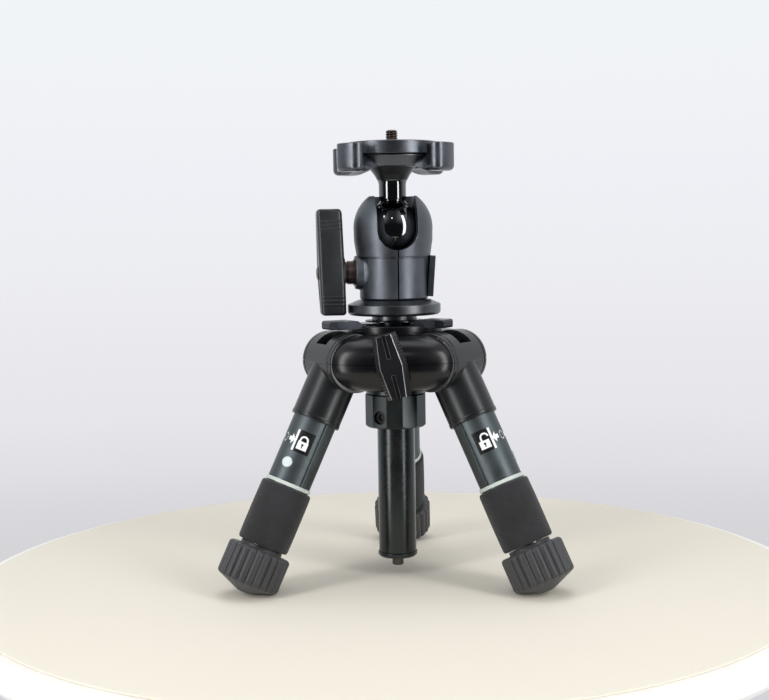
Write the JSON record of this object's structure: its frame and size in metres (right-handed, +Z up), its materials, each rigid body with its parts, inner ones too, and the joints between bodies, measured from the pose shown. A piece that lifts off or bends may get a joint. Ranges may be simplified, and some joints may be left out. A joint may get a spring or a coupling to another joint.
{
  "type": "mini tripod",
  "caption": "Low table-top tripod with telescoping legs on locking hips, a sliding centre column and a pan and ball head with a quarter-inch camera screw.",
  "frame": {"origin": "the column's axis on the plane that the feet stand on", "axes": "+Z up the column, +Y along the rear leg, the column's clamp knob on the -Y side"},
  "size_m": [0.178, 0.1586, 0.2334],
  "materials": {
    "spider_black": "semi-gloss black",
    "leg_casting_black": "satin black",
    "anodised_grey": "satin dark grey-green anodised",
    "column_black": "satin black anodised",
    "head_black": "satin blue-black",
    "knob_plastic": "matt dark grey plastic",
    "platform_black": "satin black",
    "ball_black": "glossy black lacquer",
    "foot_rubber": "matt dark grey rubber",
    "grip_foam": "matt black closed-cell foam",
    "pale_ring": "pale grey-green plastic",
    "pale_dot": "pale grey plastic",
    "cork_pad": "tan rubberised cork",
    "bronze": "dark bronze",
    "dark_steel": "blackened steel",
    "section_metal": "plain satin aluminium"
  },
  "bodies": {
    "spider": {"upper_shell": "spider_black", "lower_shell": "spider_black", "shell_screws": "dark_steel", "hip_pins": "dark_steel", "column_sleeve": "column_black", "sleeve_collar": "anodised_grey", "collar_screw": "dark_steel", "clamp_shoe": "bronze"},
    "clamp_knob": {"wing_knob": "knob_plastic", "wing_screw": "dark_steel"},
    "column": {"column_tube": "column_black", "column_plug": "column_black", "plug_screw": "dark_steel", "column_insert": "dark_steel", "column_flange": "column_black", "head_stud": "dark_steel", "head_base": "head_black"},
    "head": {"head_housing": "head_black", "knob_bushing": "bronze"},
    "lock_knob": {"lock_lever": "knob_plastic", "lock_screw": "dark_steel", "lever_cap": "knob_plastic"},
    "cup": {"ball_cup": "bronze"},
    "ball": {"ball_stem": "ball_black", "camera_screw": "bronze"},
    "platform": {"camera_disc": "platform_black", "camera_pad": "cork_pad", "lock_wheel": "platform_black"},
    "plate_rear": {"lock_plate_rear": "knob_plastic"},
    "leg_rear": {"hip_casting_rear": "leg_casting_black", "leg_tube_rear": "anodised_grey", "tube_dot_rear": "pale_dot", "grip_ring_rear": "pale_ring", "foam_grip_rear": "grip_foam"},
    "section_two_rear": {"section_two_rear": "section_metal"},
    "section_three_rear": {"section_three_rear": "section_metal"},
    "section_four_rear": {"section_four_rear": "section_metal"},
    "foot_rear": {"foot_rear": "foot_rubber"},
    "plate_left": {"lock_plate_left": "knob_plastic"},
    "leg_left": {"hip_casting_left": "leg_casting_black", "leg_tube_left": "anodised_grey", "tube_dot_left": "pale_dot", "grip_ring_left": "pale_ring", "foam_grip_left": "grip_foam"},
    "section_two_left": {"section_two_left": "section_metal"},
    "section_three_left": {"section_three_left": "section_metal"},
    "section_four_left": {"section_four_left": "section_metal"},
    "foot_left": {"foot_left": "foot_rubber"},
    "plate_right": {"lock_plate_right": "knob_plastic"},
    "leg_right": {"hip_casting_right": "leg_casting_black", "leg_tube_right": "anodised_grey", "tube_dot_right": "pale_dot", "grip_ring_right": "pale_ring", "foam_grip_right": "grip_foam"},
    "section_two_right": {"section_two_right": "section_metal"},
    "section_three_right": {"section_three_right": "section_metal"},
    "section_four_right": {"section_four_right": "section_metal"},
    "foot_right": {"foot_right": "foot_rubber"}
  },
  "joints": [
    {"name": "hip_rear", "type": "hinge", "parent": "spider", "child": "leg_rear", "pos_m": [0, 0.0306, 0.115], "axis": [1, 0, 0], "range_deg": [-26.5, 55]},
    {"name": "plate_slide_rear", "type": "slide", "parent": "spider", "child": "plate_rear", "axis": [0, 1, 0], "range_m": [-0.0072, 0]},
    {"name": "slide_two_rear", "type": "slide", "parent": "leg_rear", "child": "section_two_rear", "axis": [0, 0.4474, -0.8943], "range_m": [0, 0.055]},
    {"name": "slide_three_rear", "type": "slide", "parent": "section_two_rear", "child": "section_three_rear", "axis": [0, 0.4474, -0.8943], "range_m": [0, 0.055]},
    {"name": "slide_four_rear", "type": "slide", "parent": "section_three_rear", "child": "section_four_rear", "axis": [0, 0.4474, -0.8943], "range_m": [0, 0.055]},
    {"name": "foot_twist_rear", "type": "hinge", "parent": "section_four_rear", "child": "foot_rear", "pos_m": [0, 0.03158, 0.11549], "axis": [0, 0.4474, -0.8943], "range_deg": [-90, 90]},
    {"name": "hip_left", "type": "hinge", "parent": "spider", "child": "leg_left", "pos_m": [-0.0265, -0.0153, 0.115], "axis": [-0.5, 0.866, 0], "range_deg": [-26.5, 55]},
    {"name": "plate_slide_left", "type": "slide", "parent": "spider", "child": "plate_left", "axis": [-0.866, -0.5, 0], "range_m": [-0.0072, 0]},
    {"name": "slide_two_left", "type": "slide", "parent": "leg_left", "child": "section_two_left", "axis": [-0.3875, -0.2237, -0.8943], "range_m": [0, 0.055]},
    {"name": "slide_three_left", "type": "slide", "parent": "section_two_left", "child": "section_three_left", "axis": [-0.3875, -0.2237, -0.8943], "range_m": [0, 0.055]},
    {"name": "slide_four_left", "type": "slide", "parent": "section_three_left", "child": "section_four_left", "axis": [-0.3875, -0.2237, -0.8943], "range_m": [0, 0.055]},
    {"name": "foot_twist_left", "type": "hinge", "parent": "section_four_left", "child": "foot_left", "pos_m": [-0.02735, -0.01579, 0.11549], "axis": [-0.3875, -0.2237, -0.8943], "range_deg": [-90, 90]},
    {"name": "hip_right", "type": "hinge", "parent": "spider", "child": "leg_right", "pos_m": [0.0265, -0.0153, 0.115], "axis": [-0.5, -0.866, 0], "range_deg": [-26.5, 55]},
    {"name": "plate_slide_right", "type": "slide", "parent": "spider", "child": "plate_right", "axis": [0.866, -0.5, 0], "range_m": [0, 0.0072]},
    {"name": "slide_two_right", "type": "slide", "parent": "leg_right", "child": "section_two_right", "axis": [0.3875, -0.2237, -0.8943], "range_m": [0, 0.055]},
    {"name": "slide_three_right", "type": "slide", "parent": "section_two_right", "child": "section_three_right", "axis": [0.3875, -0.2237, -0.8943], "range_m": [0, 0.055]},
    {"name": "slide_four_right", "type": "slide", "parent": "section_three_right", "child": "section_four_right", "axis": [0.3875, -0.2237, -0.8943], "range_m": [0, 0.055]},
    {"name": "foot_twist_right", "type": "hinge", "parent": "section_four_right", "child": "foot_right", "pos_m": [0.02735, -0.01579, 0.11549], "axis": [0.3875, -0.2237, -0.8943], "range_deg": [-90, 90]},
    {"name": "column_slide", "type": "slide", "parent": "spider", "child": "column", "axis": [0, 0, 1], "range_m": [0, 0.06]},
    {"name": "clamp_turn", "type": "hinge", "parent": "spider", "child": "clamp_knob", "pos_m": [0, 0, 0.115], "axis": [0, -1, 0], "range_deg": [-20, 340]},
    {"name": "head_pan", "type": "hinge", "parent": "column", "child": "head", "pos_m": [0, 0, 0.1457], "axis": [0, 0, 1], "continuous": true},
    {"name": "lever_turn", "type": "hinge", "parent": "head", "child": "lock_knob", "pos_m": [0, 0, 0.16015], "axis": [-0.9848, -0.1736, 0], "range_deg": [-100, 100]},
    {"name": "ball_lean", "type": "hinge", "parent": "head", "child": "cup", "pos_m": [0, 0, 0.18355], "axis": [-0.1736, 0.9848, 0], "range_deg": [-7.5, 7.5]},
    {"name": "ball_drop", "type": "hinge", "parent": "cup", "child": "ball", "pos_m": [0, 0, 0.18355], "axis": [0.9848, 0.1736, 0], "range_deg": [-7.5, 90]},
    {"name": "platform_turn", "type": "hinge", "parent": "ball", "child": "platform", "pos_m": [0, 0, 0.21985], "axis": [0, 0, 1], "continuous": true}
  ]
}
